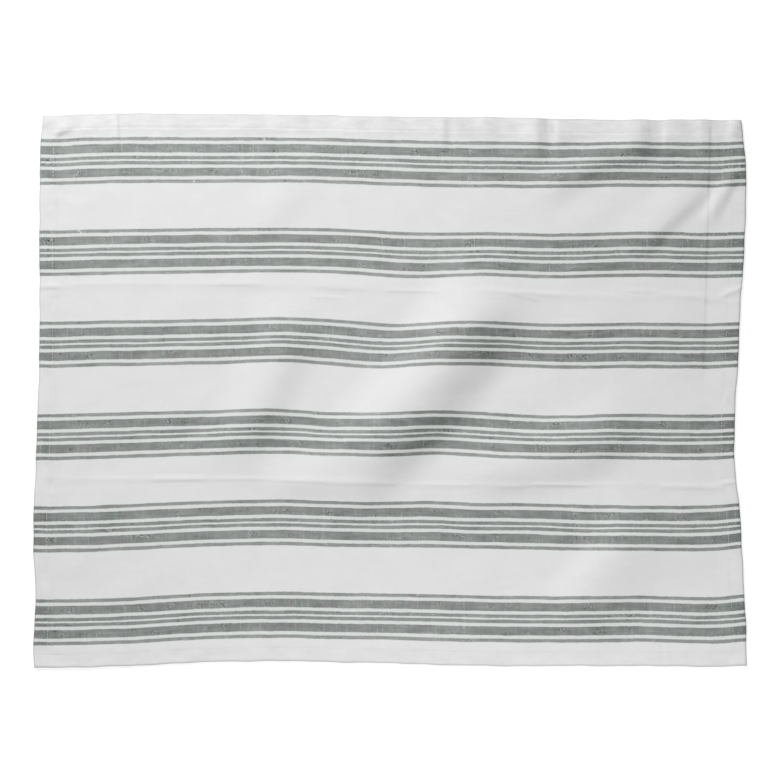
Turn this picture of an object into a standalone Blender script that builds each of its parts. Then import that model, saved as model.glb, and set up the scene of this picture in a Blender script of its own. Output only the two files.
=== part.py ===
"""A cotton tea towel lying face up on a flat surface, as loosely as it was put down.

It is one solid: a thin cloth whose four turned hems are part of it. The cloth lies flat, at z = 0, between a few
soft folds that lift it off the surface. X runs along the stripes, Y across them and Z up; the origin is on the
surface, below the middle of the towel. Sizes are in millimetres, and MM turns them into metres.
"""

import math
from collections import namedtuple

import bpy

MM = 0.001

# The finished towel, laid flat and straight.
LENGTH = 650.0
BREADTH = 505.0
CLOTH_THICKNESS = 1.0

# The hems: three layers, turned to the underside on all four sides.
HEM_WIDTH = 14.0
HEM_THICKNESS = 1.8
HEM_STEP = 1.4

# Six like bands of stripes run the whole length, the same distance apart.
BAND_COUNT = 6
BAND_BREADTH = 42.0
BAND_PITCH = 84.2
FIRST_BAND = (BREADTH - BAND_PITCH * (BAND_COUNT - 1) - BAND_BREADTH) / 2

# About how long and wide one facet of the cloth is.
FACET = 11.0

# Two creases where the towel was once folded and pressed: how far each lies below the top edge, and how near the
# two extra rows of facets are that draw it.
PRESSED_CREASES = (155.5, 336.5)
CREASE_REACH = 7.0

# How the cloth lies. Each row is one course of the weave, taken from the top edge down: how far down it is on the
# straight towel, where its two ends lie along X, and how far it is pushed towards +Y at the stations along X.
STATIONS = (-310.0, -275.0, -240.0, -170.0, -100.0, -50.0, 0.0, 45.0, 90.0, 150.0, 220.0, 295.0, 325.0)
Course = namedtuple("Course", "name down left right pushed")
COURSES = (
    Course("top edge", 0.0, -322.5, 325.0, (3.5, 5.0, 5.5, 5.0, 4.5, 3.5, 2.5, 2.0, 2.0, 0.5, -0.5, -0.5, -1.0)),
    Course("band 1", 42.0, -324.5, 329.0, (1.5, 3.0, 3.5, 3.5, 3.5, 2.5, 1.0, -0.5, -1.0, -1.5, -0.5, -1.0, 0.5)),
    Course("band 2", 126.2, -324.0, 326.5, (1.0, 2.0, 2.5, 3.5, 4.0, 3.0, 0.5, -0.5, 0.0, -1.5, 0.0, -1.0, -0.5)),
    Course("band 3", 210.4, -323.0, 321.0, (0.5, 1.5, 2.0, 3.5, 5.0, 3.0, 0.5, 1.0, 0.5, -1.0, 0.0, -0.5, 0.5)),
    Course("band 4", 294.6, -324.5, 315.5, (-0.5, 0.5, 1.5, 3.5, 5.0, 3.0, 1.5, 2.5, 1.0, -0.5, 0.0, -0.5, 0.5)),
    Course("band 5", 378.8, -326.5, 321.0, (-0.5, 0.0, 1.5, 4.5, 6.0, 4.5, 3.5, 3.5, 2.5, 1.5, 0.5, 0.5, 3.0)),
    Course("band 6", 463.0, -324.5, 324.0, (-1.0, -0.5, 0.5, 4.5, 6.0, 5.0, 4.5, 3.5, 2.5, 2.0, 2.5, 1.0, 3.5)),
    Course("bottom edge", 505.0, -323.2, 324.0, (0.0, 0.5, 1.5, 5.0, 6.0, 5.0, 4.0, 2.5, 1.5, 1.5, 1.5, 1.0, 1.5)),
)

# The folds. The crest of each runs from start to end and bows to its right by bow at mid-length. It stands height
# above the surface, falls away over left_run and right_run, and fades out over the last taper of either end, where
# both runs grow by up to END_SPREAD of themselves. A fold takes up cloth as it rises, so the cloth on either side is
# drawn in by GATHER of what a straight slope of that height and run takes up.
END_SPREAD = 0.35
GATHER = 0.9
Fold = namedtuple("Fold", "name start end bow height left_run right_run taper")
FOLDS = (
    Fold("main fold", (-92.0, -120.0), (117.0, 140.0), 18.0, 12.5, 57.0, 57.0, 108.0),
    Fold("left fold", (-174.0, -98.0), (-84.0, 106.0), 15.0, 5.4, 42.0, 36.0, 78.0),
    Fold("left foot", (-140.0, -86.0), (-40.0, -80.0), 0.0, 1.6, 24.0, 18.0, 44.0),
    Fold("right fold", (40.0, -74.0), (238.0, -24.0), 14.0, 6.0, 44.0, 38.0, 64.0),
    Fold("lower right fold", (136.0, -226.0), (242.0, -98.0), 4.0, 5.7, 34.0, 56.0, 64.0),
    Fold("right swell", (200.0, -138.0), (324.0, -146.0), 0.0, 1.4, 20.0, 36.0, 50.0),
    Fold("corner fold", (212.0, 117.0), (303.0, 203.0), 0.0, 2.7, 34.0, 15.0, 44.0),
    Fold("corner crease", (285.0, 146.0), (324.0, 214.0), 0.0, 2.0, 10.0, 11.0, 30.0),
    Fold("upper fold", (122.0, 178.0), (252.0, 246.0), 2.0, 2.4, 26.0, 22.0, 44.0),
    Fold("high fold", (-140.0, 140.0), (-40.0, 250.0), 0.0, 1.6, 30.0, 34.0, 60.0),
    Fold("upper crease, left", (-332.0, 97.0), (-70.0, 97.0), 0.0, 0.22, 5.0, 6.0, 40.0),
    Fold("upper crease, middle", (-170.0, 101.0), (60.0, 97.0), 0.0, 0.5, 14.0, 12.0, 60.0),
    Fold("upper crease, right", (50.0, 91.0), (332.0, 85.0), 0.0, 0.25, 4.0, 8.0, 50.0),
    Fold("lower crease, left", (-332.0, -84.0), (20.0, -84.0), -3.0, 0.2, 4.0, 4.0, 50.0),
    Fold("lower crease, right", (10.0, -86.0), (332.0, -86.0), 0.0, 0.2, 4.0, 4.0, 50.0),
)


def between(places, values, at):
    """The value at a place, on a smooth curve through the values given at rising places, held past both ends."""
    at = min(max(at, places[0]), places[-1])
    last = len(places) - 1
    i = max(k for k in range(last) if places[k] <= at)

    def slope(k):
        low, high = max(k - 1, 0), min(k + 1, last)
        return (values[high] - values[low]) / (places[high] - places[low])

    step = places[i + 1] - places[i]
    t = (at - places[i]) / step
    start = (1 + 2 * t) * (1 - t) ** 2 * values[i] + t * (1 - t) ** 2 * step * slope(i)
    end = t * t * (3 - 2 * t) * values[i + 1] - t * t * (1 - t) * step * slope(i + 1)
    return start + end


def lie(along, down):
    """Where the point that is this far along and down the straight towel lies on the surface, as (x, y)."""
    downs = [course.down for course in COURSES]
    left = between(downs, [course.left for course in COURSES], down)
    right = between(downs, [course.right for course in COURSES], down)
    station = along - LENGTH / 2
    pushes = [between(STATIONS, course.pushed, station) for course in COURSES]
    x, y = left + (right - left) * along / LENGTH, BREADTH / 2 - down + between(downs, pushes, down)
    drawn_x, drawn_y = drawn_in(x, y)
    return x + drawn_x, y + drawn_y


def bell(across):
    """A soft hump: 1 at 0, falling to 0 at 1 and beyond."""
    return math.cos(math.pi / 2 * min(abs(across), 1.0)) ** 2


def beside(fold, x, y):
    """How far left of a fold's crest (x, y) is, how far the fold runs out on that side, and how full it is there."""
    run_x, run_y = fold.end[0] - fold.start[0], fold.end[1] - fold.start[1]
    length = math.hypot(run_x, run_y)
    from_x, from_y = x - fold.start[0], y - fold.start[1]
    along = min(max((from_x * run_x + from_y * run_y) / length, 0.0), length)
    share = along / length
    left_of = (from_y * run_x - from_x * run_y) / length + 4 * fold.bow * share * (1 - share)
    fade = 1 - bell(min(along, length - along) / fold.taper)
    run = fold.left_run if left_of > 0 else fold.right_run
    return left_of, run * (1 + END_SPREAD * (1 - fade)), fade


def lift(x, y):
    """How high the folds lift the cloth off the surface at (x, y)."""
    height = 0.0
    for fold in FOLDS:
        left_of, run, fade = beside(fold, x, y)
        height += fold.height * bell(left_of / run) * fade
    return height


def drawn_in(x, y):
    """How far the cloth at (x, y) is drawn towards the crests of the folds, which take up some of its length."""
    drawn_x = drawn_y = 0.0
    for fold in FOLDS:
        left_of, run, fade = beside(fold, x, y)
        side = math.copysign(1.0, left_of)
        taken = GATHER * (fold.height * fade) ** 2 / run
        pull = -side * taken * bell(left_of / run - side)
        bearing = math.atan2(fold.end[1] - fold.start[1], fold.end[0] - fold.start[0])
        drawn_x -= pull * math.sin(bearing)
        drawn_y += pull * math.cos(bearing)
    return drawn_x, drawn_y


def thickness(along, down):
    """How thick the towel is there: a single cloth, or the layers of a hem."""
    inside = min(along, LENGTH - along, down, BREADTH - down)
    step = min(max((inside - HEM_WIDTH) / HEM_STEP, 0.0), 1.0)
    return HEM_THICKNESS + (CLOTH_THICKNESS - HEM_THICKNESS) * step


def divided(marks):
    """The places in marks, with each space between them divided into even facets."""
    places = [marks[0]]
    for low, high in zip(marks, marks[1:]):
        count = max(1, round((high - low) / FACET))
        places += [low + (high - low) * k / count for k in range(1, count + 1)]
    return places


def facet_places():
    """The edges of the facets, as places along the towel and places down it."""
    hem_end = HEM_WIDTH + HEM_STEP
    alongs = divided([0.0, HEM_WIDTH, hem_end, LENGTH - hem_end, LENGTH - HEM_WIDTH, LENGTH])
    marks = {0.0, HEM_WIDTH, hem_end, BREADTH - hem_end, BREADTH - HEM_WIDTH, BREADTH}
    for band in range(BAND_COUNT):
        top = FIRST_BAND + band * BAND_PITCH
        marks |= {top, top + BAND_BREADTH}
    for crease in PRESSED_CREASES:
        marks |= {crease - CREASE_REACH, crease, crease + CREASE_REACH}
    return alongs, divided(sorted(marks))


def cloth_shape():
    """The corners and faces of the towel: its underside, its face and the rim that closes them."""
    alongs, downs = facet_places()
    columns, rows = len(alongs), len(downs)
    flat = [lie(along, down) for down in downs for along in alongs]
    middle_x = (min(x for x, _ in flat) + max(x for x, _ in flat)) / 2
    middle_y = (min(y for _, y in flat) + max(y for _, y in flat)) / 2
    under = [(x - middle_x, y - middle_y, lift(x, y)) for x, y in flat]
    layers = [thickness(along, down) for down in downs for along in alongs]
    face = [(x, y, z + layer) for (x, y, z), layer in zip(under, layers)]

    count = columns * rows
    faces = []
    for row in range(rows - 1):
        for column in range(columns - 1):
            corner = row * columns + column
            across = (corner, corner + 1, corner + columns + 1, corner + columns)
            faces.append(across)
            faces.append(tuple(count + k for k in reversed(across)))
    rim = [column for column in range(columns)]
    rim += [row * columns + columns - 1 for row in range(1, rows)]
    rim += [(rows - 1) * columns + column for column in range(columns - 2, -1, -1)]
    rim += [row * columns for row in range(rows - 2, 0, -1)]
    for here, there in zip(rim, rim[1:] + rim[:1]):
        faces.append((there, here, count + here, count + there))
    corners = [tuple(MM * size for size in place) for place in under + face]
    return corners, faces


def cotton():
    """White cotton cloth, matt."""
    material = bpy.data.materials.new("white_cotton")
    material.use_nodes = True
    shader = material.node_tree.nodes["Principled BSDF"]
    shader.inputs["Base Color"].default_value = (0.72, 0.73, 0.72, 1.0)
    shader.inputs["Roughness"].default_value = 0.9
    shader.inputs["Metallic"].default_value = 0.0
    return material


def tea_towel():
    """The towel, as one object."""
    mesh = bpy.data.meshes.new("tea_towel")
    corners, faces = cloth_shape()
    mesh.from_pydata(corners, [], faces)
    mesh.materials.append(cotton())
    mesh.shade_smooth()
    mesh.set_sharp_from_angle(angle=math.radians(40))
    towel = bpy.data.objects.new("tea_towel", mesh)
    bpy.context.scene.collection.objects.link(towel)


def main():
    for leftover in list(bpy.data.objects):
        bpy.data.objects.remove(leftover)
    tea_towel()


main()
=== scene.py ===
"""The looks of the striped cotton tea towel: its woven cloth with turned hems, and the stitches in them.

The file is laid out as an add-on: the cloth, its sewing and the stage each have an operator, and main()
calls them in order. The cloth lies on the surface in the same courses and folds as the part's solid. Tables
and shape functions are in millimetres, and MM turns them into metres; the camera and the lamps are in
metres.
"""

import math
from collections import namedtuple

import bpy
import numpy as np
from bpy.props import FloatProperty, FloatVectorProperty, PointerProperty
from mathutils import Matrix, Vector


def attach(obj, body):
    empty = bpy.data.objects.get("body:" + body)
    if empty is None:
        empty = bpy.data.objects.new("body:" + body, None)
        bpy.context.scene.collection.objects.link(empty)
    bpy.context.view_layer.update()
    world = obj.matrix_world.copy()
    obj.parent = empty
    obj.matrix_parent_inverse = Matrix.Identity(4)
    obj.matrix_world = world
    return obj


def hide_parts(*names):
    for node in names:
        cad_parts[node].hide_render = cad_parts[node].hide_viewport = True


bl_info = {
    "name": "Striped Tea Towel",
    "version": (1, 0, 0),
    "blender": (4, 5, 0),
    "location": "View3D > Sidebar > Tea Towel",
    "description": "Lays out a striped cotton tea towel with sewn hems on a pale surface",
    "category": "Add Mesh",
}

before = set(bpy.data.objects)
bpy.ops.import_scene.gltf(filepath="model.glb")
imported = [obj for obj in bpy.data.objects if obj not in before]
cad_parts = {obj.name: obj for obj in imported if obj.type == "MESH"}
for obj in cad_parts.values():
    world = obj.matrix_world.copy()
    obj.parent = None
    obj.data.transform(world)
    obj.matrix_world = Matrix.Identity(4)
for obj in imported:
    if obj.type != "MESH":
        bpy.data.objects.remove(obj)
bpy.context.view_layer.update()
MM = 0.001

# The finished towel, laid flat and straight. Its four hems are each turned under twice.
LENGTH = 650.0
BREADTH = 505.0
HEM_WIDTH = 14.0

# Six like bands of stripes, the same distance apart.
BAND_COUNT = 6
BAND_PITCH = 84.2
BAND_BREADTH = 42.0
FIRST_BAND = (BREADTH - BAND_PITCH * (BAND_COUNT - 1) - BAND_BREADTH) / 2

# How the cloth lies. Each row is one course of the weave, taken from the top edge down: how far down it is
# on the straight towel, where its two ends lie along X, and how far it is pushed towards +Y at the
# stations.
STATIONS = (-310.0, -275.0, -240.0, -170.0, -100.0, -50.0, 0.0, 45.0, 90.0, 150.0, 220.0, 295.0, 325.0)
Course = namedtuple("Course", "name down left right pushed")
COURSES = (
    Course("top edge", 0.0, -322.5, 325.0,
           (3.5, 5.0, 5.5, 5.0, 4.5, 3.5, 2.5, 2.0, 2.0, 0.5, -0.5, -0.5, -1.0)),
    Course("band 1", 42.0, -324.5, 329.0,
           (1.5, 3.0, 3.5, 3.5, 3.5, 2.5, 1.0, -0.5, -1.0, -1.5, -0.5, -1.0, 0.5)),
    Course("band 2", 126.2, -324.0, 326.5,
           (1.0, 2.0, 2.5, 3.5, 4.0, 3.0, 0.5, -0.5, 0.0, -1.5, 0.0, -1.0, -0.5)),
    Course("band 3", 210.4, -323.0, 321.0,
           (0.5, 1.5, 2.0, 3.5, 5.0, 3.0, 0.5, 1.0, 0.5, -1.0, 0.0, -0.5, 0.5)),
    Course("band 4", 294.6, -324.5, 315.5,
           (-0.5, 0.5, 1.5, 3.5, 5.0, 3.0, 1.5, 2.5, 1.0, -0.5, 0.0, -0.5, 0.5)),
    Course("band 5", 378.8, -326.5, 321.0,
           (-0.5, 0.0, 1.5, 4.5, 6.0, 4.5, 3.5, 3.5, 2.5, 1.5, 0.5, 0.5, 3.0)),
    Course("band 6", 463.0, -324.5, 324.0,
           (-1.0, -0.5, 0.5, 4.5, 6.0, 5.0, 4.5, 3.5, 2.5, 2.0, 2.5, 1.0, 3.5)),
    Course("bottom edge", 505.0, -323.2, 324.0,
           (0.0, 0.5, 1.5, 5.0, 6.0, 5.0, 4.0, 2.5, 1.5, 1.5, 1.5, 1.0, 1.5)),
)

# The folds, as in the solid. The crest of each runs from start to end and bows to its right by bow at mid-
# length. It stands height above the surface, falls away over left_run and right_run, and fades out over the
# last taper of either end, where both runs grow by up to END_SPREAD of themselves. A fold takes up cloth as
# it rises, so the cloth beside it is drawn in by GATHER of what a straight slope of its height and run
# takes up.
END_SPREAD = 0.35
GATHER = 0.9
Fold = namedtuple("Fold", "name start end bow height left_run right_run taper")
FOLDS = (
    Fold("main fold", (-92.0, -120.0), (117.0, 140.0), 18.0, 12.5, 57.0, 57.0, 108.0),
    Fold("left fold", (-174.0, -98.0), (-84.0, 106.0), 15.0, 5.4, 42.0, 36.0, 78.0),
    Fold("left foot", (-140.0, -86.0), (-40.0, -80.0), 0.0, 1.6, 24.0, 18.0, 44.0),
    Fold("right fold", (40.0, -74.0), (238.0, -24.0), 14.0, 6.0, 44.0, 38.0, 64.0),
    Fold("lower right fold", (136.0, -226.0), (242.0, -98.0), 4.0, 5.7, 34.0, 56.0, 64.0),
    Fold("right swell", (200.0, -138.0), (324.0, -146.0), 0.0, 1.4, 20.0, 36.0, 50.0),
    Fold("corner fold", (212.0, 117.0), (303.0, 203.0), 0.0, 2.7, 34.0, 15.0, 44.0),
    Fold("corner crease", (285.0, 146.0), (324.0, 214.0), 0.0, 2.0, 10.0, 11.0, 30.0),
    Fold("upper fold", (122.0, 178.0), (252.0, 246.0), 2.0, 2.4, 26.0, 22.0, 44.0),
    Fold("high fold", (-140.0, 140.0), (-40.0, 250.0), 0.0, 1.6, 30.0, 34.0, 60.0),
    Fold("upper crease, left", (-332.0, 97.0), (-70.0, 97.0), 0.0, 0.22, 5.0, 6.0, 40.0),
    Fold("upper crease, middle", (-170.0, 101.0), (60.0, 97.0), 0.0, 0.5, 14.0, 12.0, 60.0),
    Fold("upper crease, right", (50.0, 91.0), (332.0, 85.0), 0.0, 0.25, 4.0, 8.0, 50.0),
    Fold("lower crease, left", (-332.0, -84.0), (20.0, -84.0), -3.0, 0.2, 4.0, 4.0, 50.0),
    Fold("lower crease, right", (10.0, -86.0), (332.0, -86.0), 0.0, 0.2, 4.0, 4.0, 50.0),
)

# Smaller creases and puckers, too fine for the solid. A negative height is a trough.
CREASES = (
    # Low swells of the cloth.
    Fold("swell below the lower crease", (-120.0, -86.0), (10.0, -86.0), 0.0, 0.8, 12.0, 18.0, 40.0),
    Fold("low swell 1", (-292.0, -182.0), (-262.0, -106.0), 0.0, 0.9, 30.0, 14.0, 30.0),
    Fold("low swell 2", (-72.0, -166.0), (-8.0, -122.0), 0.0, 0.5, 18.0, 16.0, 30.0),

    # Where the towel was once folded and pressed, above the middle.
    Fold("upper press 1", (-306.0, 98.9), (-106.0, 98.9), 0.0, 0.3, 9.0, 2.5, 30.0),
    Fold("upper press 2", (-172.0, 98.2), (-116.0, 98.6), 0.0, 0.35, 6.0, 3.0, 16.0),
    Fold("upper press 3", (-84.0, 97.3), (-14.0, 93.4), 0.0, 0.35, 8.0, 3.0, 20.0),
    Fold("upper press 4", (-78.0, 88.0), (-36.0, 84.5), 0.0, 0.35, 3.0, 3.0, 12.0),
    Fold("upper press 5", (-10.0, 92.7), (52.0, 91.3), 0.0, 0.45, 4.0, 2.5, 14.0),
    Fold("upper press 6", (72.0, 93.7), (166.0, 88.2), 0.0, 0.5, 4.0, 4.0, 20.0),
    Fold("upper press 7", (104.0, 92.0), (142.0, 83.0), 0.0, 0.5, 2.5, 4.0, 12.0),
    Fold("upper press 8", (212.0, 92.7), (252.0, 91.0), 0.0, 0.4, 4.0, 3.0, 12.0),
    Fold("upper press 9", (238.0, 90.4), (300.0, 87.0), 0.0, 0.55, 5.0, 6.0, 14.0),
    Fold("upper press 10", (284.0, 84.6), (330.0, 81.6), 0.0, 0.35, 4.0, 4.0, 8.0),

    # The same below the middle.
    Fold("lower press 1", (-304.0, -79.8), (-222.0, -80.4), 0.0, 0.2, 3.0, 3.0, 20.0),
    Fold("lower press 2", (-225.0, -80.8), (-161.0, -80.6), 0.0, 0.55, 5.0, 3.5, 14.0),
    Fold("lower press 3", (-170.0, -80.4), (-104.0, -80.6), 0.0, 0.25, 3.0, 2.5, 14.0),
    Fold("lower press 4", (-109.0, -81.3), (-49.0, -84.6), 0.0, 0.45, 5.0, 3.0, 14.0),
    Fold("lower press 5", (-61.0, -85.0), (12.0, -85.5), 0.0, 0.35, 4.0, 3.0, 12.0),
    Fold("lower press 6", (10.0, -85.8), (80.0, -86.9), 0.0, 0.35, 3.5, 2.5, 12.0),
    Fold("lower press 7", (94.0, -87.7), (126.0, -87.8), 0.0, 0.45, 4.0, 4.0, 8.0),
    Fold("lower press 8", (120.0, -85.8), (194.0, -86.8), 0.0, 0.5, 2.5, 2.5, 20.0),
    Fold("lower press 9", (241.0, -87.2), (310.0, -88.7), 0.0, 0.8, 4.0, 5.0, 14.0),

    # Along the bottom hem, which curls up a little.
    Fold("curl of the bottom hem", (-350.0, -258.0), (350.0, -259.0), 0.0, 0.8, 17.0, 8.0, 30.0),
    Fold("left end of that curl", (-372.0, -257.0), (-222.0, -257.0), 0.0, 0.5, 15.0, 8.0, 50.0),

    # The crease down the right side.
    Fold("side crease", (288.5, 6.0), (298.0, 262.0), 0.0, -0.35, 2.5, 8.0, 20.0),

    # The folds that the top hem was sewn or pressed into.
    Fold("hem pucker 1", (-252.0, 200.0), (-255.0, 290.0), 0.0, 0.9, 9.0, 3.0, 36.0),
    Fold("hem pucker 2", (-224.0, 236.0), (-226.0, 266.0), 0.0, 0.4, 6.0, 4.0, 12.0),
    Fold("hem pucker 3", (-165.0, 236.0), (-167.0, 270.0), 0.0, 0.5, 6.0, 4.0, 14.0),
    Fold("hem pucker 4", (-82.0, 228.0), (-84.0, 290.0), 0.0, 0.6, 7.0, 6.0, 30.0),
    Fold("hem pucker 5", (-3.0, 214.0), (-4.0, 290.0), 0.0, 0.9, 10.0, 5.0, 34.0),
    Fold("hem pucker 6", (47.0, 206.0), (48.0, 290.0), 0.0, 1.4, 16.0, 8.0, 36.0),
    Fold("hem pucker 7", (62.0, 214.0), (63.0, 290.0), 0.0, 0.7, 6.0, 16.0, 36.0),
    Fold("hem pucker 8", (90.0, 206.0), (89.0, 290.0), 0.0, 0.9, 14.0, 14.0, 36.0),
    Fold("hem pucker 9", (134.0, 200.0), (135.0, 290.0), 0.0, 2.2, 18.0, 13.0, 36.0),
    Fold("hem pucker 10", (156.0, 206.0), (156.0, 290.0), 0.0, 1.2, 5.5, 20.0, 36.0),
    Fold("hem pucker 11", (228.0, 196.0), (232.0, 290.0), 0.0, 2.0, 22.0, 18.0, 36.0),
    Fold("hem pucker 12", (257.0, 206.0), (258.0, 290.0), 0.0, 0.9, 7.0, 20.0, 36.0),
    Fold("hem pucker 13", (289.0, 210.0), (290.0, 290.0), 0.0, 1.4, 10.0, 20.0, 36.0),
    Fold("hem pucker 14", (318.0, 214.0), (319.0, 290.0), 0.0, 1.4, 8.0, 8.0, 36.0),
    Fold("corner tuck", (-315.5, 235.0), (-290.5, 248.3), 0.0, 1.3, 10.0, 4.5, 10.0),

    # Along the left hem.
    Fold("left hem swell", (-324.0, 179.0), (-270.0, 171.0), 0.0, 0.5, 8.0, 6.0, 14.0),
    Fold("left hem tuck 1", (-320.0, 153.5), (-295.0, 152.0), 0.0, 0.4, 3.5, 3.5, 8.0),
    Fold("left hem tuck 2", (-334.0, 95.5), (-300.0, 96.4), 0.0, 0.6, 6.0, 3.5, 10.0),
    Fold("left hem dip", (-334.0, -86.0), (-304.0, -85.0), 0.0, -0.7, 6.0, 8.0, 10.0),

    # Along the right hem.
    Fold("right hem tuck 1", (301.0, -84.5), (325.0, -83.0), 0.0, 0.6, 3.5, 3.5, 8.0),
    Fold("right hem tuck 2", (302.0, -99.0), (323.0, -97.5), 0.0, 0.6, 3.5, 3.5, 8.0),
    Fold("right hem tuck 3", (300.0, 86.0), (332.0, 98.0), 0.0, 0.6, 4.0, 4.5, 10.0),
    Fold("right hem tuck 4", (304.0, -9.0), (322.0, 4.0), 0.0, 0.5, 4.5, 4.5, 7.0),
)

# Chance dents all over the cloth: how many, the least and most of their half lengths and half widths, the
# middle and spread of their slants and the spread of their heights, and the seed that draws them.
DENT_COUNT = 150
DENT_HALF_LENGTHS = (16.0, 52.0)
DENT_HALF_WIDTHS = (7.0, 22.0)
DENT_SLANT = (0.75, 0.9)
DENT_HEIGHT = 0.11
DENT_SEED = 7

# How far the cloth stands off the surface between folds, what share of that comes and goes, and the lengths
# of the waves in which it does.
LOFT = 0.5
LOFT_CHANGE = 0.45
LOFT_WAVES = (58.0, 94.0, 151.0)

# Over what distance from the hems the cloth reaches that height. Near the right and bottom edges the step
# is softer: all of it within SOFT_HEM_REACH of them, and none of it from twice as far.
HEM_FALL = 5.0
SOFT_HEM_FALL = 12.0
SOFT_HEM_REACH = 30.0

# How far the right hem curls up at its edge, and how far in from there the curl reaches.
RIGHT_CURL = 0.7
RIGHT_CURL_REACH = 18.0

# The rolled edge of the hem: how high up its face and underside meet, and how far in each is rounded.
EDGE_MEETS = 1.0
FACE_ROUND = 3.0
UNDER_ROUND = 0.8

# How much higher the corners stand, where two hems cross, and over what distance they rise to that.
CORNER_LAYERS = 0.25
CORNER_SLOPE = 6.0

# The seam: how far in from the edge it is sewn, and how deep and how wide to either side the groove is that
# its thread draws in, on the face and on the underside. The top hem's is the deepest on the face.
SEAM_INSET = 12.5
SEAM_GROOVE = 0.03
TOP_SEAM_GROOVE = 0.15
SEAM_GROOVE_REACH = 1.5
UNDER_GROOVE = 0.17
UNDER_GROOVE_REACH = 1.0

# How long the seam along each side is.
SEAM_LENGTHS = {"top": LENGTH, "bottom": LENGTH, "left": BREADTH, "right": BREADTH}

# The small waves that sewing leaves along the hems: their height, their lengths, how far from the seam they
# fade out, and a start that makes those of the left and right hems unlike the others.
PUCKER_HEIGHT = 0.14
PUCKER_WAVES = (11.3, 7.9, 17.1)
PUCKER_REACH = 1.6 * HEM_WIDTH
SIDE_PUCKER_START = 1.7

# How far the edges stray from straight, the lengths of the waves in which they do, how far in from the edge
# they fade out, and a start that makes those of the top and bottom edges unlike the others.
STRAY = 0.45
STRAY_WAVES = (29.0, 47.0, 83.0)
STRAY_REACH = 2 * HEM_WIDTH
LONG_STRAY_START = 2.3

# Where the side hems bend in or out between the courses: on which side, how far down that side, how far
# above and below there the bend reaches, and how far it goes towards +X.
Bend = namedtuple("Bend", "name side down reach shift")
BENDS = (
    Bend("in, above the last band", "left", 438.0, 42.0, 1.5),
    Bend("out, at the corner", "left", 490.0, 42.0, -1.6),
    Bend("in, at the first band", "right", 36.0, 26.0, -0.7),
    Bend("in, below the second band", "right", 172.0, 84.0, -1.2),
    Bend("in, below the fourth band", "right", 324.0, 38.0, -1.3),
    Bend("in, at the fifth band", "right", 392.0, 76.0, -1.0),
    Bend("in, at the last band", "right", 452.0, 40.0, -0.6),
)

# Where the grid's lines lie near an edge, closest where the hem rolls over, is sewn and ends. Farther in
# they are evenly spaced, but for the fine creases, where they are CLOSE apart: across CREASE_COLUMNS of the
# towel's length and down CREASE_ROWS of its breadth.
EDGE_LINES = (0.0, 0.15, 0.5, 1.1, 2.0, 3.2, 5.5, 8.0, 10.2, 11.5, 12.1, 12.5, 12.9, 13.5, 13.85, 14.15, 14.8,
              15.8, 17.2, 19.2)
CLOSE = 1.0
CREASE_COLUMNS = ((68.0, 80.0), (370.0, 384.0), (456.0, 484.0), (554.0, 578.0), (608.0, 622.0))
CREASE_ROWS = ((153.0, 172.0), (331.0, 345.0))

# How many points of each edge are looked at to find the middle of the towel.
OUTLINE_POINTS = 400

# The stitches: how many sides and rings each has.
STITCH_SIDES = 6
STITCH_RINGS = 5

# The surface that the towel lies on: its tone, its roughness and its own light, which keeps it white.
SURFACE_TONE = 0.6
SURFACE_ROUGHNESS = 0.9
SURFACE_LIGHT = 0.66

# Where the camera stands: how far off, and how far it leans from straight above. Its lens is worked out
# from how many pixels of the picture one radian fills and how many the picture is high. Its view is shifted
# by half a pixel, to the left and up.
CAMERA_DISTANCE = 2.0
CAMERA_LEAN = math.radians(4.18)
PIXELS_PER_RADIAN = 2177.4
FRAME_PIXELS = 781
SENSOR_WIDTH = 36.0
HALF_PIXEL = 0.5

# The lamps, each square and turned towards the towel: a large one far beyond its top left corner, and two
# small ones, low beyond its top and bottom hems.
Lamp = namedtuple("Lamp", "name place side")
LAMPS = (
    Lamp("key", Vector((-1.49, 2.3, 1.65)), 1.3),
    Lamp("top", Vector((-0.25, 0.6, 0.5)), 0.5),
    Lamp("bottom", Vector((0.14, -0.6, 0.5)), 0.5),
)

WHITE = (1.0, 1.0, 1.0, 1.0)

# The tone curve, which is steep in the greys and shallow in the whites: light in, light out. It is the
# curve that holds for all colours, the fourth.
ALL_COLOURS = 3
TONE_CURVE = ((0.0, 0.0), (0.105, 0.091), (0.21, 0.254), (0.333, 0.446), (0.458, 0.592), (0.6, 0.715),
              (0.75, 0.82), (1.0, 1.0))


class TowelSizes(bpy.types.PropertyGroup):
    """The sizes that a user may change."""

    cloth_thickness: FloatProperty(
        name="Cloth thickness", description="One layer of the cloth", default=0.0006, unit="LENGTH")
    hem_thickness: FloatProperty(
        name="Hem thickness", description="Three layers at a hem", default=0.0016, unit="LENGTH")
    grid: FloatProperty(
        name="Grid", description="Spacing of the cloth's grid lines", default=0.0042, unit="LENGTH")
    yarn: FloatProperty(
        name="Yarn spacing", description="From one yarn to the next", default=0.00062, unit="LENGTH")
    stitch_length: FloatProperty(
        name="Stitch", description="Length of a stitch that shows", default=0.0022, unit="LENGTH")
    stitch_gap: FloatProperty(
        name="Stitch gap", description="From the end of a stitch to the next", default=0.0008, unit="LENGTH")
    thread: FloatProperty(
        name="Thread", description="Diameter of the sewing thread", default=0.0003, unit="LENGTH")


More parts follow.
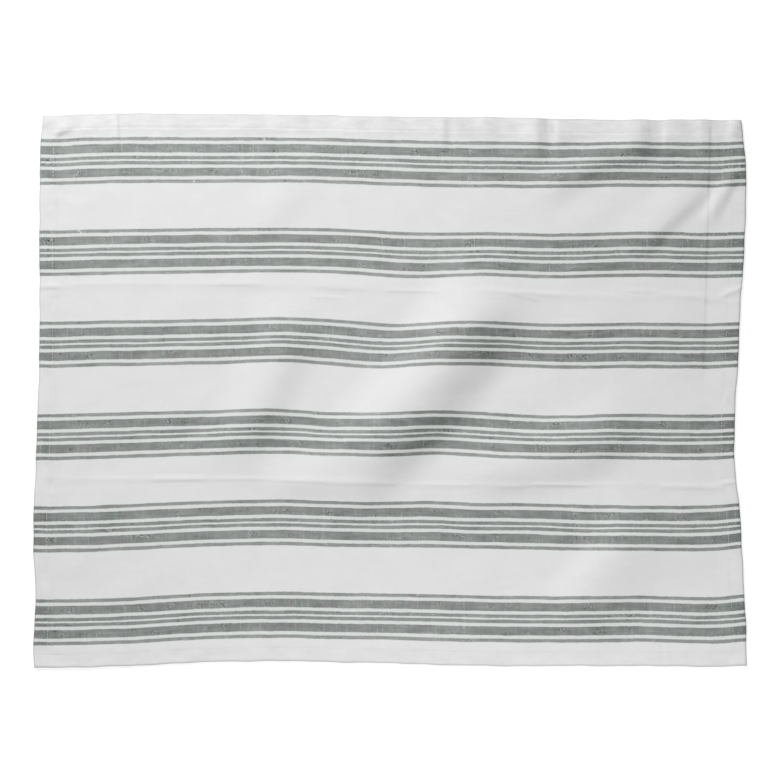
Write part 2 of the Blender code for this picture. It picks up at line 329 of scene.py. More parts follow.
class TowelColours(bpy.types.PropertyGroup):
    """The colours that a user may change."""

    ground: FloatVectorProperty(
        name="Ground", description="The white of the cloth", subtype="COLOR", size=3,
        default=(0.715, 0.718, 0.716))
    line: FloatVectorProperty(
        name="White lines", description="The white between stripes", subtype="COLOR", size=3,
        default=(0.64, 0.678, 0.652))
    stripe_warp: FloatVectorProperty(
        name="Stripe yarn", description="The dyed yarn of the stripes", subtype="COLOR", size=3,
        default=(0.161, 0.172, 0.166))
    stripe_weft: FloatVectorProperty(
        name="Yarn across a stripe", description="The pale yarn that crosses the dyed one", subtype="COLOR",
        size=3, default=(0.316, 0.331, 0.323))
    stripe_green: FloatVectorProperty(
        name="Green in the stripes", description="Where the dye took greener", subtype="COLOR", size=3,
        default=(0.225, 0.255, 0.23))
    stripe_grey: FloatVectorProperty(
        name="Grey in the stripes", description="Where the dye took greyer", subtype="COLOR", size=3,
        default=(0.25, 0.25, 0.253))
    thread: FloatVectorProperty(
        name="Thread", description="The sewing thread", subtype="COLOR", size=3, default=(0.68, 0.68, 0.675))


class StageSettings(bpy.types.PropertyGroup):
    """The light and the surface."""

    key_power: FloatProperty(
        name="Key light", description="Power of the large soft light", default=85.0, unit="POWER")
    top_power: FloatProperty(
        name="Top light", description="Power of the light beyond the top hem", default=2.3, unit="POWER")
    bottom_power: FloatProperty(
        name="Bottom light", description="Power of the light beyond the bottom hem", default=2.3,
        unit="POWER")
    fill: FloatProperty(name="Fill", description="Strength of the light from all round", default=0.06)
    floor_size: FloatProperty(name="Floor", description="Side of the floor", default=12.0, unit="LENGTH")


def between(places, values, at):
    """The values at these points, on a smooth curve through those given at rising places, level past them."""
    places, values = np.asarray(places), np.asarray(values)
    at = np.clip(at, places[0], places[-1])
    i = np.clip(np.searchsorted(places, at, side="right") - 1, 0, len(places) - 2)
    low = np.maximum(np.arange(len(places)) - 1, 0)
    high = np.minimum(np.arange(len(places)) + 1, len(places) - 1)
    slope = (values[high] - values[low]) / (places[high] - places[low])
    step = places[i + 1] - places[i]
    t = (at - places[i]) / step
    start = (1 + 2 * t) * (1 - t) ** 2 * values[i] + t * (1 - t) ** 2 * step * slope[i]
    end = t * t * (3 - 2 * t) * values[i + 1] - t * t * (1 - t) * step * slope[i + 1]
    return start + end


def lie(along, down):
    """Where points this far along and down the straight towel lie on the surface, as (x, y)."""
    downs = [course.down for course in COURSES]
    left = between(downs, [course.left for course in COURSES], down)
    right = between(downs, [course.right for course in COURSES], down)
    x, y = left + (right - left) * along / LENGTH, BREADTH / 2 - down
    for course in COURSES:
        share = between(downs, [float(other is course) for other in COURSES], down)
        y = y + share * between(STATIONS, course.pushed, along - LENGTH / 2)
    drawn_x, drawn_y = drawn_in(x, y)
    return x + drawn_x, y + drawn_y


def bell(across):
    """A soft hump: 1 at 0, falling to 0 at 1 and beyond."""
    return np.cos(math.pi / 2 * np.minimum(np.abs(across), 1.0)) ** 2


def beside(fold, x, y):
    """How far left of a fold's crest (x, y) is, how far the fold runs on that side, and how full it is."""
    run_x, run_y = fold.end[0] - fold.start[0], fold.end[1] - fold.start[1]
    length = math.hypot(run_x, run_y)
    from_x, from_y = x - fold.start[0], y - fold.start[1]
    along = np.clip((from_x * run_x + from_y * run_y) / length, 0, length)
    share = along / length
    left_of = (from_y * run_x - from_x * run_y) / length + 4 * fold.bow * share * (1 - share)
    fade = 1 - bell(np.minimum(along, length - along) / fold.taper)
    run = np.where(left_of > 0, fold.left_run, fold.right_run) * (1 + END_SPREAD * (1 - fade))
    return left_of, run, fade


def lift(folds, x, y):
    """How high the folds lift the cloth at (x, y)."""
    height = np.zeros_like(x)
    for fold in folds:
        left_of, run, fade = beside(fold, x, y)
        height += fold.height * bell(left_of / run) * fade
    return height


def drawn_in(x, y):
    """How far the cloth at (x, y) is drawn towards the crests of the folds, which take some of it up."""
    drawn_x, drawn_y = np.zeros_like(x), np.zeros_like(y)
    for fold in FOLDS:
        left_of, run, fade = beside(fold, x, y)
        taken = GATHER * (fold.height * fade) ** 2 / run
        pull = -np.sign(left_of) * taken * bell(left_of / run - np.sign(left_of))
        bearing = math.atan2(fold.end[1] - fold.start[1], fold.end[0] - fold.start[0])
        drawn_x -= pull * math.sin(bearing)
        drawn_y += pull * math.cos(bearing)
    return drawn_x, drawn_y


def dents(x, y):
    """Chance unevenness of the cloth at (x, y), a fraction of a millimetre high or deep."""
    chance = np.random.default_rng(DENT_SEED)
    height = np.zeros_like(x)
    for _ in range(DENT_COUNT):
        middle = chance.uniform((-LENGTH / 2, -BREADTH / 2), (LENGTH / 2, BREADTH / 2))
        slant = chance.normal(*DENT_SLANT)
        half_length = chance.uniform(*DENT_HALF_LENGTHS)
        half_width = chance.uniform(*DENT_HALF_WIDTHS)
        rise = chance.normal(0, DENT_HEIGHT)
        over = (x - middle[0]) * math.cos(slant) + (y - middle[1]) * math.sin(slant)
        side = (y - middle[1]) * math.cos(slant) - (x - middle[0]) * math.sin(slant)
        height += rise * bell(over / half_length) * bell(side / half_width)
    return height


def soft_step(t):
    """0 up to 0, 1 from 1, and smooth between them."""
    t = np.clip(t, 0, 1)
    return t * t * (3 - 2 * t)


def loft(along, down):
    """How far the cloth stands off the surface there, between folds."""
    changes = [np.sin(2 * math.pi * (along + (1 + k) * down) / length) for k, length in enumerate(LOFT_WAVES)]
    return LOFT * (1 + LOFT_CHANGE * sum(changes) / len(LOFT_WAVES))


def waves(run, lengths, start):
    """Uneven waves of these lengths at run along an edge, from -1 to 1. Another start makes other waves."""
    each = [np.sin(2 * math.pi * run / length + k * (1 + start)) for k, length in enumerate(lengths)]
    return sum(each) / len(lengths)


def cross_section(along, down, cloth, hem):
    """The heights of the underside and the face there, before the folds lift them."""
    side = np.minimum(along, LENGTH - along)
    long_side = np.minimum(down, BREADTH - down)
    inside = np.minimum(side, long_side)
    past_both_hems = np.maximum(side, long_side) - HEM_WIDTH
    corner = CORNER_LAYERS * soft_step(0.5 - past_both_hems / CORNER_SLOPE)
    softer = soft_step(2 - np.minimum(BREADTH - down, LENGTH - along) / SOFT_HEM_REACH)
    fall = HEM_FALL + (SOFT_HEM_FALL - HEM_FALL) * softer
    top = hem + corner + (loft(along, down) + cloth - hem) * soft_step((inside - HEM_WIDTH) / fall)
    near_long_seam, near_side_seam = np.abs(long_side - SEAM_INSET), np.abs(side - SEAM_INSET)
    long_groove = np.where(down < BREADTH / 2, TOP_SEAM_GROOVE, SEAM_GROOVE)
    top -= long_groove * bell(near_long_seam / SEAM_GROOVE_REACH)
    top -= SEAM_GROOVE * bell(near_side_seam / SEAM_GROOVE_REACH)
    rolled = np.sqrt(1 - (1 - np.clip(inside / FACE_ROUND, 0, 1)) ** 2)
    face = EDGE_MEETS + (top - EDGE_MEETS) * rolled
    turned_under = np.sqrt(1 - (1 - np.clip(inside / UNDER_ROUND, 0, 1)) ** 2)
    groove = UNDER_GROOVE * bell(np.minimum(near_long_seam, near_side_seam) / UNDER_GROOVE_REACH)
    under = np.where(inside > HEM_WIDTH, face - cloth, EDGE_MEETS * (1 - turned_under) + groove)
    return under, face


def puckers(along, down):
    """The small waves that sewing leaves along the hems."""
    side = np.minimum(along, LENGTH - along)
    long_side = np.minimum(down, BREADTH - down)
    height = waves(along, PUCKER_WAVES, 0.0) * bell((long_side - SEAM_INSET) / PUCKER_REACH)
    height += waves(down, PUCKER_WAVES, SIDE_PUCKER_START) * bell((side - SEAM_INSET) / PUCKER_REACH)
    return PUCKER_HEIGHT * height


def strayed(along, down):
    """How far the edges stray there, along X and along Y, fading out inside the hems."""
    side = np.minimum(along, LENGTH - along)
    long_side = np.minimum(down, BREADTH - down)
    stray_x = waves(down, STRAY_WAVES, along / LENGTH) * bell(side / STRAY_REACH)
    stray_y = waves(along, STRAY_WAVES, LONG_STRAY_START + down / BREADTH) * bell(long_side / STRAY_REACH)
    bent = np.zeros_like(along)
    for bend in BENDS:
        from_side = along if bend.side == "left" else LENGTH - along
        bent += bend.shift * bell((down - bend.down) / bend.reach) * bell(from_side / STRAY_REACH)
    return STRAY * stray_x + bent, STRAY * stray_y


def middle_of_outline():
    """The middle of the box round the towel as its courses lie, which is put at the origin."""
    edge = np.linspace(0, 1, OUTLINE_POINTS)
    near, far = np.zeros_like(edge), np.ones_like(edge)
    along = np.concatenate([edge, edge, near, far]) * LENGTH
    down = np.concatenate([near, far, edge, edge]) * BREADTH
    x, y = lie(along, down)
    return (x.min() + x.max()) / 2, (y.min() + y.max()) / 2


def shape_at(along, down, sizes):
    """The towel this far along and down it, in metres: x, y, and how high its underside and its face are."""
    x, y = lie(along, down)
    middle_x, middle_y = middle_of_outline()
    under, face = cross_section(along, down, sizes.cloth_thickness / MM, sizes.hem_thickness / MM)
    curl = RIGHT_CURL * bell((LENGTH - along) / RIGHT_CURL_REACH)
    lifted = lift(FOLDS, x, y) + lift(CREASES, x, y) + dents(x, y) + puckers(along, down) + curl

    # No part of the cloth dips below the surface that it lies on.
    lifted = np.maximum(lifted, -under)
    stray_x, stray_y = strayed(along, down)
    x, y = x + stray_x, y + stray_y
    return (x - middle_x) * MM, (y - middle_y) * MM, (under + lifted) * MM, (face + lifted) * MM


class Socket:
    """A number that varies over a surface: an output of a node, with arithmetic that adds Math nodes."""

    def __init__(self, finish, output):
        self.finish = finish
        self.output = output

    def math(self, operation, *values, clamp=False):
        node = self.finish.node("ShaderNodeMath", {"operation": operation, "use_clamp": clamp},
                                dict(enumerate(values)))
        return Socket(self.finish, node.outputs[0])

    def __add__(self, other):
        return self.math("ADD", self, other)

    __radd__ = __add__

    def __sub__(self, other):
        return self.math("SUBTRACT", self, other)

    def __rsub__(self, other):
        return self.math("SUBTRACT", other, self)

    def __mul__(self, other):
        return self.math("MULTIPLY", self, other)

    __rmul__ = __mul__

    def __truediv__(self, other):
        return self.math("DIVIDE", self, other)

    def __mod__(self, other):
        return self.math("FLOORED_MODULO", self, other)

    def __abs__(self):
        return self.math("ABSOLUTE", self)

    def sine(self):
        return self.math("SINE", self)

    def least(self, other):
        return self.math("MINIMUM", self, other)

    def rise(self, at, over):
        """0 below at and 1 above it, with a straight slope that is over wide."""
        return self.math("MULTIPLY_ADD", self, 1 / over, 0.5 - at / over, clamp=True)


class Finish:
    """A material, built up node by node round its Principled shader."""

    def __init__(self, name):
        self.material = bpy.data.materials.new(name)
        self.material.use_nodes = True
        self.tree = self.material.node_tree
        self.shader = self.tree.nodes["Principled BSDF"]

    def plug(self, socket, value):
        """Links the value to the socket where it varies, and sets it there where it doesn't."""
        if isinstance(value, Socket):
            value = value.output
        if isinstance(value, bpy.types.NodeSocket):
            self.tree.links.new(value, socket)
        else:
            socket.default_value = value

    def node(self, kind, settings=None, inputs=None):
        """A new node of this kind: its settings are made first, then its sockets get values or links."""
        made = self.tree.nodes.new(kind)
        for name, value in (settings or {}).items():
            setattr(made, name, value)
        for key, value in (inputs or {}).items():
            self.plug(made.inputs[key], value)
        return made

    def cloth_places(self):
        """How far along and down the cloth a point is, in millimetres, from its own map."""
        here = self.node("ShaderNodeUVMap", {"uv_map": "cloth"}).outputs["UV"]
        parts = self.node("ShaderNodeSeparateXYZ", None, {0: here})
        return Socket(self, parts.outputs["X"]) * (1 / MM), Socket(self, parts.outputs["Y"]) * (1 / MM)

    def mottle(self, x, y, mottle):
        """Soft noise at (x, y), from about -0.5 to 0.5."""
        parts = {"X": x / mottle.long, "Y": y / mottle.tall, "Z": mottle.place}
        place = self.node("ShaderNodeCombineXYZ", None, parts).outputs[0]
        inputs = {"Vector": place, "Scale": 1.0, "Detail": mottle.detail, "Roughness": NOISE_ROUGHNESS}
        noise = self.node("ShaderNodeTexNoise", {"noise_dimensions": "3D"}, inputs)
        return Socket(self, noise.outputs["Fac"]) - 0.5

    def patches(self, x, y, patches):
        """1 in the patches of this kind, 0 between them, and soft at their edges."""
        return self.mottle(x, y, patches).rise(patches.begins, patches.over)

    def mix(self, share, first, second):
        """The colour that is first where share is 0 and second where it is 1."""
        node = self.node("ShaderNodeMix", {"data_type": "RGBA", "clamp_factor": True},
                         {0: share, 6: first, 7: second})
        return node.outputs[2]

    def scaled(self, colour, factor):
        """The colour made lighter or darker by factor."""
        if isinstance(colour, tuple):
            colour = colour[:3]
        node = self.node("ShaderNodeVectorMath", {"operation": "SCALE"}, {0: colour, "Scale": factor})
        return node.outputs[0]

    def bump(self, height):
        """Relief of this height in millimetres."""
        node = self.node("ShaderNodeBump", None,
                         {"Strength": BUMP_STRENGTH, "Distance": MM, "Height": height})
        self.dress({"Normal": node.outputs[0]})

    def dress(self, values):
        """Gives the shader's own inputs these values or links."""
        for name, value in values.items():
            self.plug(self.shader.inputs[name], value)


def opaque(colour):
    """The colour as one that nothing shows through."""
    return (*colour, 1.0)


# The stripes of a band, which mirror each other on either side of its middle: how far from there each
# begins and ends, and how much of the dye it took; and how soft their edges are.
Stripe = namedtuple("Stripe", "name begins ends dye")
STRIPES = (
    Stripe("middle", 0.7, 4.1, 0.97),
    Stripe("broad", 6.9, 14.9, 1.0),
    Stripe("outer", 17.75, 21.1, 0.93),
)
YARN_EDGE = 0.4

# How the cloth changes from place to place. Each is soft noise: about how far it goes along the cloth and
# down it before it changes, in millimetres, where in the noise it is read, and how much fine detail it has.
Mottle = namedtuple("Mottle", "long tall place detail")
PALE_YARNS = Mottle(3.2, 16.0, 3.1, 2.0)
LONG_YARNS = Mottle(24.0, 1.7, 7.7, 2.0)
SPECKLE = Mottle(0.95, 0.95, 12.3, 0.0)
TONE = Mottle(16.0, 9.0, 33.3, 3.0)
FAR_TONE = Mottle(120.0, 70.0, 36.1, 2.0)
CRINKLE = Mottle(6.0, 5.0, 41.0, 2.0)
# Painted light and shade of fine creases in the top hem.
HEM_CREASE_SHADING = Mottle(13.0, 2.6, 45.1, 3.0)
WANDER = Mottle(24.0, 9.0, 51.3, 2.0)
FRAY = Mottle(0.9, 0.8, 57.9, 2.0)
FLUFF = Mottle(1 / 3, 1 / 3, 5.0, 2.0)
NOISE_ROUGHNESS = 0.55

# The same for patches, with how much noise there is at a patch's edge, and how soft that edge is.
Patches = namedtuple("Patches", "long tall place detail begins over")
FLUFFY = Patches(14.0, 8.0, 21.9, 2.0, 0.11, 0.12)
GREENER = Patches(11.0, 9.0, 38.4, 2.0, 0.06, 0.24)
GREYER = Patches(13.0, 8.0, 39.7, 2.0, 0.06, 0.24)
RAISED_YARNS = Patches(0.7, 70.0, 61.7, 1.0, 0.2, 0.06)
RAISED_DOTS = Patches(0.8, 1.0, 66.2, 0.0, 0.03, 0.16)

# How much the mottles lighten and darken the stripes and the white cloth. On stripes, speckle is stronger
# in the fluffy patches; on white, tone is stronger in the hems, and in the top hem most of all, where painted
# light and shade of fine creases show too.
Shading = namedtuple("Shading", "pale_yarns long_yarns speckle tone far_tone")
ON_STRIPES = Shading(0.25, 0.42, 0.12, 0.5, 0.15)
ON_WHITE = Shading(0.04, 0.04, 0.03, 0.12, 0.03)
FLUFFY_SPECKLE = 2.0
HEM_TONE = 0.18
TOP_HEM_TONE = 0.2
TOP_HEM_CREASE_SHADING = 0.26

# How far the stripes' edges wander and fray, in millimetres for each unit of noise.
WANDER_REACH = 1.3
FRAY_REACH = 2.4

# How soft the step is between the dyed yarn on top and the pale one, where the weave runs from -1 to 1.
WEAVE_EDGE = 1.2

# How strongly the greener and greyer patches and the raised pale yarns show.
PATCH_SHOWS = 0.6
RAISED_SHOWS = 0.45

# How soft the change of tone is at the inner edge of the hems, and how much darker their stripes are; and
# how far down the top hem's tone and painted crease shading reach, and how softly they end.
HEM_EDGE = 1.5
HEM_DARKER = 0.1
TOP_HEM_ENDS = 20.0
TOP_HEM_EDGE = 3.0

# How far in from its edge the white cloth is darkened by painted shade, which stands in for the shade
# under the rolled turn of the hem; how softly that ends, and how much darker it is.
RIM = 1.2
RIM_EDGE = 1.4
RIM_PAINTED_SHADE = 0.3

# How high the weave, the uneven yarns and the crinkles stand, and how strongly relief shows.
WEAVE_RELIEF = 0.035
YARN_RELIEF = 0.06
CRINKLE_RELIEF = 0.14
BUMP_STRENGTH = 0.6

# How the cotton takes the light.
COTTON = {"Roughness": 0.92, "Specular IOR Level": 0.15, "Sheen Weight": 0.12, "Sheen Roughness": 0.5}

# The sewing thread: how far apart the ridges of its ply are, how high they stand, how much they and its
# fluff lighten and darken it, and how rough it is.
PLY_LENGTH = 0.35
PLY_RELIEF = 0.04
PLY_SHADE = 0.05
FLUFF_SHADE = 0.2
THREAD_ROUGHNESS = 0.8

# Loops of white yarn that were pulled out of the stripes: where each is, and half of how wide and tall it
# is; and at what share of that its edge is, how soft the edge is, and how much of the loop shows.
Snag = namedtuple("Snag", "name along down wide tall")
SNAGS = (
    Snag("on the first line", 206.7, 23.0, 0.8, 1.8),
    Snag("under the first band", 142.0, 61.5, 1.4, 0.9),
    Snag("above the second band", 36.5, 106.0, 2.2, 0.9),
    Snag("beside it", 38.5, 107.8, 0.9, 1.4),
)
SNAG_AT = 0.8
SNAG_EDGE = 0.6
SNAG_SHOWS = 0.9


def striped_cotton(colours, sizes):
    """White cotton, plain woven, with bands of stripes dyed along its length and pale yarns across them."""
    finish = Finish("striped_cotton")
    along, down = finish.cloth_places()

    stray = finish.mottle(along, down, WANDER) * WANDER_REACH + finish.mottle(along, down, FRAY) * FRAY_REACH
    from_middle = abs((down + stray - FIRST_BAND) % BAND_PITCH - BAND_BREADTH / 2)
    dyed = sum(
        (from_middle.rise(stripe.begins, YARN_EDGE) - from_middle.rise(stripe.ends, YARN_EDGE)) * stripe.dye
        for stripe in STRIPES)
    in_band = 1 - from_middle.rise(BAND_BREADTH / 2, YARN_EDGE)

    yarn_turn = math.pi / (sizes.yarn / MM)
    over_under = (along * yarn_turn).sine() * (down * yarn_turn).sine()
    dyed_on_top = over_under.rise(0.0, WEAVE_EDGE)

    # Uneven yarns: thick and thin ones across and along, short fluffy lengths, and a slow change of tone.
    pale_yarns = finish.mottle(along, down, PALE_YARNS)
    long_yarns = finish.mottle(along, down, LONG_YARNS)
    speckle = finish.mottle(along, down, SPECKLE)
    tone = finish.mottle(along, down, TONE)
    far_tone = finish.mottle(along, down, FAR_TONE)

    to_side = along.least(LENGTH - along)
    to_edge = to_side.least(down.least(BREADTH - down))
    in_hem = 1 - to_edge.rise(HEM_WIDTH, HEM_EDGE)
    in_top_hem = 1 - down.rise(TOP_HEM_ENDS, TOP_HEM_EDGE)
    # Where painted shade darkens the white cloth next to the rolled edge.
    in_painted_rim_shade = 1 - to_edge.rise(RIM, RIM_EDGE)

    stripe = finish.mix(dyed_on_top, opaque(colours.stripe_weft), opaque(colours.stripe_warp))
    greener = finish.patches(along, down, GREENER) * PATCH_SHOWS
    stripe = finish.mix(greener, stripe, opaque(colours.stripe_green))
    greyer = finish.patches(along, down, GREYER) * PATCH_SHOWS
    stripe = finish.mix(greyer, stripe, opaque(colours.stripe_grey))
    stripe_shade = 1 + pale_yarns * ON_STRIPES.pale_yarns + long_yarns * ON_STRIPES.long_yarns
    stripe_shade += speckle * (ON_STRIPES.speckle + finish.patches(along, down, FLUFFY) * FLUFFY_SPECKLE)
    stripe_shade += tone * ON_STRIPES.tone + far_tone * ON_STRIPES.far_tone
    stripe = finish.scaled(stripe, stripe_shade * (1 - in_hem * HEM_DARKER))

    # Here and there a pale yarn rides up over the dyed ones and shows as a row of dots.
    raised = finish.patches(along, down, RAISED_YARNS) * finish.patches(along, down, RAISED_DOTS)
    stripe = finish.mix(raised * RAISED_SHOWS, stripe, opaque(colours.line))
    off_snags = [abs(along - snag.along) / snag.wide + abs(down - snag.down) / snag.tall for snag in SNAGS]
    snagged = sum(1 - off.rise(SNAG_AT, SNAG_EDGE) for off in off_snags)
    stripe = finish.mix(snagged * SNAG_SHOWS, stripe, opaque(colours.thread))

    ground = finish.mix(in_band, opaque(colours.ground), opaque(colours.line))
    ground_shade = 1 + pale_yarns * ON_WHITE.pale_yarns + long_yarns * ON_WHITE.long_yarns
    ground_shade += speckle * ON_WHITE.speckle + tone * (ON_WHITE.tone + in_hem * HEM_TONE)
    ground_shade += far_tone * ON_WHITE.far_tone
    # In the top hem, painted light and shade stand in for the shading of fine creases.
    hem_crease_shading = finish.mottle(along, down, HEM_CREASE_SHADING)
    ground_shade += in_top_hem * (hem_crease_shading * TOP_HEM_CREASE_SHADING + tone * TOP_HEM_TONE)
    # The white cloth near the edge is darkened by painted shade, for the shade under the rolled hem.
    ground = finish.scaled(ground, ground_shade * (1 - in_painted_rim_shade * RIM_PAINTED_SHADE))

    finish.dress({"Base Color": finish.mix(dyed, ground, stripe), **COTTON})
    crinkle = finish.mottle(along, down, CRINKLE)
    relief = over_under * WEAVE_RELIEF + (pale_yarns + long_yarns) * YARN_RELIEF + crinkle * CRINKLE_RELIEF
    finish.bump(relief)
    return finish.material


def sewing_thread(colours):
    """White spun thread, with its ply as fine slanting ridges."""
    finish = Finish("sewing_thread")
    here = finish.node("ShaderNodeTexCoord").outputs["Object"]
    parts = finish.node("ShaderNodeSeparateXYZ", None, {0: here})
    x = Socket(finish, parts.outputs["X"]) / MM
    y = Socket(finish, parts.outputs["Y"]) / MM
    ply = ((x + y) * (2 * math.pi / PLY_LENGTH)).sine()
    shade = 1 + ply * PLY_SHADE + finish.mottle(x, y, FLUFF) * FLUFF_SHADE
    finish.dress({"Base Color": finish.scaled(opaque(colours.thread), shade), "Roughness": THREAD_ROUGHNESS})
    finish.bump(ply * PLY_RELIEF)
    return finish.material


def pale_surface():
    """A plain white studio surface."""
    finish = Finish("pale_surface")
    tone = (SURFACE_TONE, SURFACE_TONE, SURFACE_TONE)
    finish.dress({"Base Color": opaque(tone), "Roughness": SURFACE_ROUGHNESS})
    finish.dress({"Emission Color": WHITE, "Emission Strength": SURFACE_LIGHT})
    return finish.material


def grid_places(size, spacing, creased):
    """The grid's lines along a side of this size: close at the hems and over the creased spans, else even."""
    reach = EDGE_LINES[-1]
    marks = [reach, *(end for span in creased for end in span), size - reach]
    places = [np.array(EDGE_LINES)]
    for low, high in zip(marks, marks[1:]):
        gap = CLOSE if (low, high) in creased else spacing
        places.append(np.linspace(low, high, round((high - low) / gap) + 1)[1:])
    places.append(size - np.array(EDGE_LINES[-2::-1]))
    return np.concatenate(places)


def grid_faces(numbers):
    """The faces between the corners of a grid with these numbers, turned upwards."""
    around = (numbers[1:, :-1], numbers[1:, 1:], numbers[:-1, 1:], numbers[:-1, :-1])
    return np.stack(around, -1).reshape(-1, 4)


def new_object(name, corners, faces, material):
    """A smooth mesh object with these corners and faces, which are given as lists."""
    mesh = bpy.data.meshes.new(name)
    mesh.from_pydata(corners, [], faces)
    mesh.materials.append(material)
    mesh.shade_smooth()
    made = bpy.data.objects.new(name, mesh)
    bpy.context.scene.collection.objects.link(made)
    return made


class TEATOWEL_OT_lay_cloth(bpy.types.Operator):
    """Make the striped cloth with its turned hems, on the solid's folds"""

    bl_idname = "tea_towel.lay_cloth"
    bl_label = "Lay the cloth"

    def execute(self, context):
        sizes = context.scene.towel_sizes
        across = grid_places(LENGTH, sizes.grid / MM, CREASE_COLUMNS)
        downward = grid_places(BREADTH, sizes.grid / MM, CREASE_ROWS)
        along, down = np.meshgrid(across, downward)
        x, y, under, face = shape_at(along, down, sizes)
        corners = np.concatenate([np.stack([x, y, height], -1).reshape(-1, 3) for height in (face, under)])

        # The face and the underside share the corners of the rim, so the cloth is closed all round.
        on_face = np.arange(along.size).reshape(along.shape)
        on_underside = on_face + along.size
        rim = np.ones(along.shape, bool)
        rim[1:-1, 1:-1] = False
        on_underside[rim] = on_face[rim]
        faces = np.concatenate([grid_faces(on_face), grid_faces(on_underside)[:, ::-1]])
        used, faces = np.unique(faces, return_inverse=True)
        faces = faces.reshape(-1, 4)
        material = striped_cotton(context.scene.towel_colours, sizes)
        cloth = new_object("towel_cloth", corners[used].tolist(), faces.tolist(), material)

        weave = np.tile(np.stack([along, down], -1).reshape(-1, 2) * MM, (2, 1))[used]
        layer = cloth.data.uv_layers.new(name="cloth")
        layer.uv.foreach_set("vector", weave[faces.ravel()].astype(np.float32).ravel())
        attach(cloth, "root")
        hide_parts("tea_towel")
        return {"FINISHED"}


def one_stitch(length, thickness):
    """The corners and faces of one stitch: a short, rounded stretch of thread that lies along X."""
    bpy.ops.object.select_all(action="DESELECT")
    bpy.ops.mesh.primitive_uv_sphere_add(
        segments=STITCH_SIDES, ring_count=STITCH_RINGS, radius=0.5, rotation=(0, math.pi / 2, 0))
    stitch = bpy.context.object
    bpy.ops.object.transform_apply(location=False, rotation=True, scale=False)
    bpy.ops.object.mode_set(mode="EDIT")
    bpy.ops.mesh.select_all(action="SELECT")
    bpy.ops.transform.resize(value=(length, thickness, thickness))
    bpy.ops.object.mode_set(mode="OBJECT")
    corners = np.array([tuple(vertex.co) for vertex in stitch.data.vertices])
    faces = [list(polygon.vertices) for polygon in stitch.data.polygons]
    bpy.data.objects.remove(stitch)
    return corners, faces


def on_seam(side, run):
    """How far along and down the towel the seam of this side is, at run along it."""
    inset = np.full_like(run, SEAM_INSET)
    places = {"top": (run, inset), "bottom": (run, BREADTH - inset),
              "left": (inset, run), "right": (LENGTH - inset, run)}
    return places[side]


def unit(arrows):
    """These arrows, all made one long."""
    return arrows / np.linalg.norm(arrows, axis=1)[:, None]


def stitch_row(side, on_face, sizes):
    """The middles of the stitches of one row, and which ways are ahead, beside and above for each."""
    step = (sizes.stitch_length + sizes.stitch_gap) / MM
    half = sizes.stitch_length / MM / 2
    run = np.arange(step, SEAM_LENGTHS[side] - step, step) + (0.0 if on_face else step / 2)
    ends = []
    for end in (-half, half):
        x, y, under, face = shape_at(*on_seam(side, run + end), sizes)
        ends.append(np.stack([x, y, face if on_face else under], -1))
    ahead = unit(ends[1] - ends[0])
    beside = unit(np.cross((0.0, 0.0, 1.0), ahead))
    above = np.cross(ahead, beside)
    middles = (ends[0] + ends[1]) / 2

    # Below the towel, no stitch sinks into the surface.
    middles[:, 2] = np.maximum(middles[:, 2], sizes.thread / 2)
    return middles, np.stack([ahead, beside, above], 1)


class TEATOWEL_OT_sew_hems(bpy.types.Operator):
    """Sew the hems with a row of stitches on the face and one on the underside"""

    bl_idname = "tea_towel.sew_hems"
    bl_label = "Sew the hems"

    def execute(self, context):
        sizes = context.scene.towel_sizes
        corners, faces = one_stitch(sizes.stitch_length, sizes.thread)
        placed = []
        for side in SEAM_LENGTHS:
            for on_face in (True, False):
                middles, ways = stitch_row(side, on_face, sizes)
                placed.append((corners @ ways + middles[:, None]).reshape(-1, 3))
        all_corners = np.concatenate(placed).tolist()
        all_faces = [[first + corner for corner in face]
                     for first in range(0, len(all_corners), len(corners)) for face in faces]
        thread = sewing_thread(context.scene.towel_colours)
        stitches = new_object("hem_stitches", all_corners, all_faces, thread)
        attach(stitches, "root")
        return {"FINISHED"}


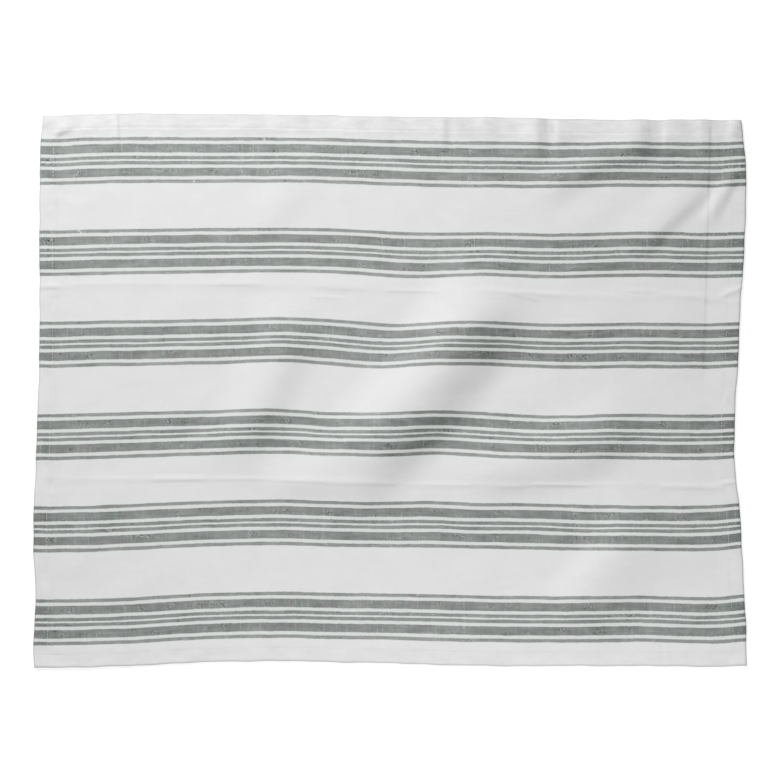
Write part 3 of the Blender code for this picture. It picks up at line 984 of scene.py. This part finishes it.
class TEATOWEL_OT_set_stage(bpy.types.Operator):
    """Set the pale floor, the soft light and the camera"""

    bl_idname = "tea_towel.set_stage"
    bl_label = "Set the stage"

    def execute(self, context):
        scene = context.scene
        settings = scene.towel_stage
        bpy.ops.object.select_all(action="DESELECT")
        bpy.ops.mesh.primitive_plane_add(size=settings.floor_size)
        floor = context.object
        floor.name = "floor"
        floor.data.materials.append(pale_surface())

        for lamp, power in zip(LAMPS, (settings.key_power, settings.top_power, settings.bottom_power)):
            light = bpy.data.lights.new(lamp.name, "AREA")
            light.energy = power
            light.size = lamp.side
            stand = bpy.data.objects.new(lamp.name, light)
            stand.location = lamp.place
            stand.rotation_euler = (-lamp.place).to_track_quat("-Z", "Y").to_euler()
            scene.collection.objects.link(stand)

        world = bpy.data.worlds.new("soft_light")
        world.use_nodes = True
        world.node_tree.nodes["Background"].inputs["Color"].default_value = WHITE
        world.node_tree.nodes["Background"].inputs["Strength"].default_value = settings.fill
        scene.world = world

        camera = bpy.data.cameras.new("camera")
        camera.sensor_width = SENSOR_WIDTH
        camera.lens = PIXELS_PER_RADIAN * SENSOR_WIDTH / FRAME_PIXELS
        camera.shift_x = -HALF_PIXEL / FRAME_PIXELS
        camera.shift_y = HALF_PIXEL / FRAME_PIXELS
        stand = bpy.data.objects.new("camera", camera)
        middle_x, middle_y = middle_of_outline()
        stand.location = (
            -middle_x * MM,
            -middle_y * MM - CAMERA_DISTANCE * math.sin(CAMERA_LEAN),
            CAMERA_DISTANCE * math.cos(CAMERA_LEAN),
        )
        stand.rotation_euler = (CAMERA_LEAN, 0.0, 0.0)
        scene.collection.objects.link(stand)
        scene.camera = stand

        scene.view_settings.view_transform = "Standard"
        scene.view_settings.use_curve_mapping = True
        mapping = scene.view_settings.curve_mapping
        for light_in, light_out in TONE_CURVE[1:-1]:
            mapping.curves[ALL_COLOURS].points.new(light_in, light_out)
        mapping.update()
        return {"FINISHED"}


class TEATOWEL_PT_towel(bpy.types.Panel):
    """The towel's pieces, sizes and colours"""

    bl_label = "Tea Towel"
    bl_space_type = "VIEW_3D"
    bl_region_type = "UI"
    bl_category = "Tea Towel"

    def draw(self, context):
        layout = self.layout
        for operator in (TEATOWEL_OT_lay_cloth, TEATOWEL_OT_sew_hems, TEATOWEL_OT_set_stage):
            layout.operator(operator.bl_idname)
        for group in (context.scene.towel_sizes, context.scene.towel_colours, context.scene.towel_stage):
            for name in group.__annotations__:
                layout.prop(group, name)


CLASSES = (TowelSizes, TowelColours, StageSettings, TEATOWEL_OT_lay_cloth, TEATOWEL_OT_sew_hems,
           TEATOWEL_OT_set_stage, TEATOWEL_PT_towel)


def register():
    for one in CLASSES:
        bpy.utils.register_class(one)
    bpy.types.Scene.towel_sizes = PointerProperty(type=TowelSizes)
    bpy.types.Scene.towel_colours = PointerProperty(type=TowelColours)
    bpy.types.Scene.towel_stage = PointerProperty(type=StageSettings)


def unregister():
    del bpy.types.Scene.towel_stage
    del bpy.types.Scene.towel_colours
    del bpy.types.Scene.towel_sizes
    for one in reversed(CLASSES):
        bpy.utils.unregister_class(one)


def main():
    """Makes the whole towel on its stage."""
    register()
    bpy.ops.tea_towel.lay_cloth()
    bpy.ops.tea_towel.sew_hems()
    bpy.ops.tea_towel.set_stage()


if __name__ == "__main__":
    main()
